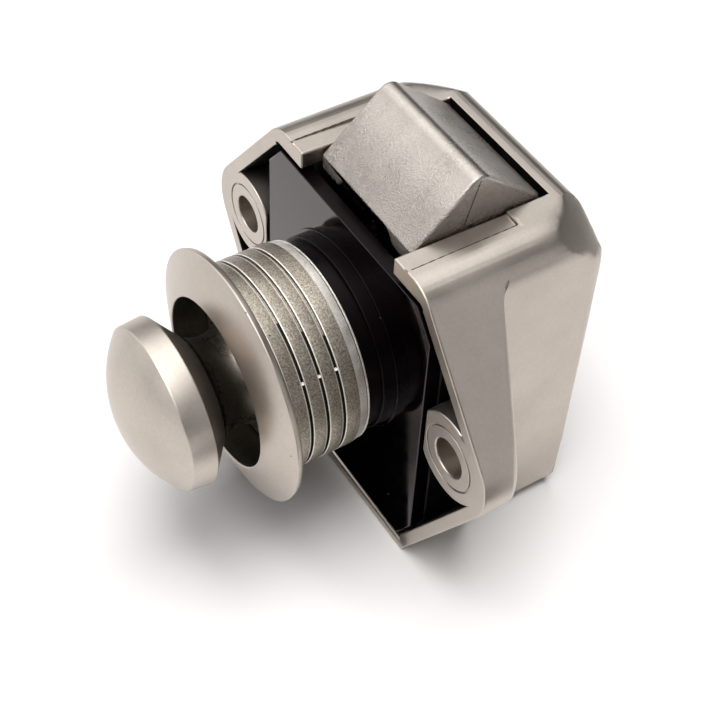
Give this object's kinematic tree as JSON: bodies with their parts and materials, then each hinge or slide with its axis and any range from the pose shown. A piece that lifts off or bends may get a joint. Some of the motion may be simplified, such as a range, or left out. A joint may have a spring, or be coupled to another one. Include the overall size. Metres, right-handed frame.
{
  "type": "push button cabinet lock",
  "caption": "Surface-mounted lock for a cabinet door: sprung roof-shaped latch bolt in an eared die-cast casing, push-push knob in a flanged rosette with a grooved collar.",
  "frame": {"origin": "where the knob's axis meets the casing's door face, which is midway between the screw holes", "axes": "+X to the right as seen by a person in front of the knob, +Y away from them into the cabinet (the knob points to -Y), +Z the way the bolt comes out"},
  "size_m": [0.0604, 0.0541, 0.0534],
  "materials": {
    "satin_nickel": "satin nickel plate on a zinc die casting",
    "cast_nickel": "nickel plate on a rough die casting",
    "black_plastic": "glossy black moulding",
    "steel": "turned and pressed steel",
    "spring_steel": "bright drawn spring wire",
    "brass": "turned brass"
  },
  "bodies": {
    "lock": {"casing": "satin_nickel", "front_plate": "black_plastic", "rosette": "satin_nickel", "chassis": "black_plastic", "spindle_bush": "brass", "spring_washer": "steel", "button_spring": "spring_steel", "follower_pivot": "steel", "follower_leaf": "spring_steel", "spring_pins": "steel", "bolt_spring_left": "spring_steel", "bolt_spring_right": "spring_steel"},
    "bolt": {"latch_bolt": "cast_nickel", "bolt_slide": "steel", "slide_rivets": "steel", "spring_foot": "black_plastic"},
    "button": {"knob": "satin_nickel", "spindle": "steel", "lock_nose": "steel", "cam_arm": "steel", "heart_cam": "steel", "retaining_ring": "spring_steel"},
    "follower": {"track_follower": "steel", "follower_pin": "steel"}
  },
  "joints": [
    {"name": "button_press", "type": "slide", "parent": "lock", "child": "button", "axis": [0, 1, 0], "range_m": [0, 0.008], "stiffness_N_per_m": 300, "springref_m": -0.012, "deforming": ["button_spring"]},
    {"name": "bolt_retract", "type": "slide", "parent": "lock", "child": "bolt", "axis": [0, 0, -1], "range_m": [0, 0.006], "stiffness_N_per_m": 400, "springref_m": -0.004, "deforming": ["bolt_spring_left", "bolt_spring_right"]},
    {"name": "follower_swing", "type": "hinge", "parent": "lock", "child": "follower", "pos_m": [-0.0124, 0.0195, 0.0028], "axis": [0, 0, 1], "range_deg": [0, 11.54]}
  ],
  "couplings": [
    {"joint": "follower_swing", "follows": "button_press", "rad_per_m": 25.17}
  ]
}
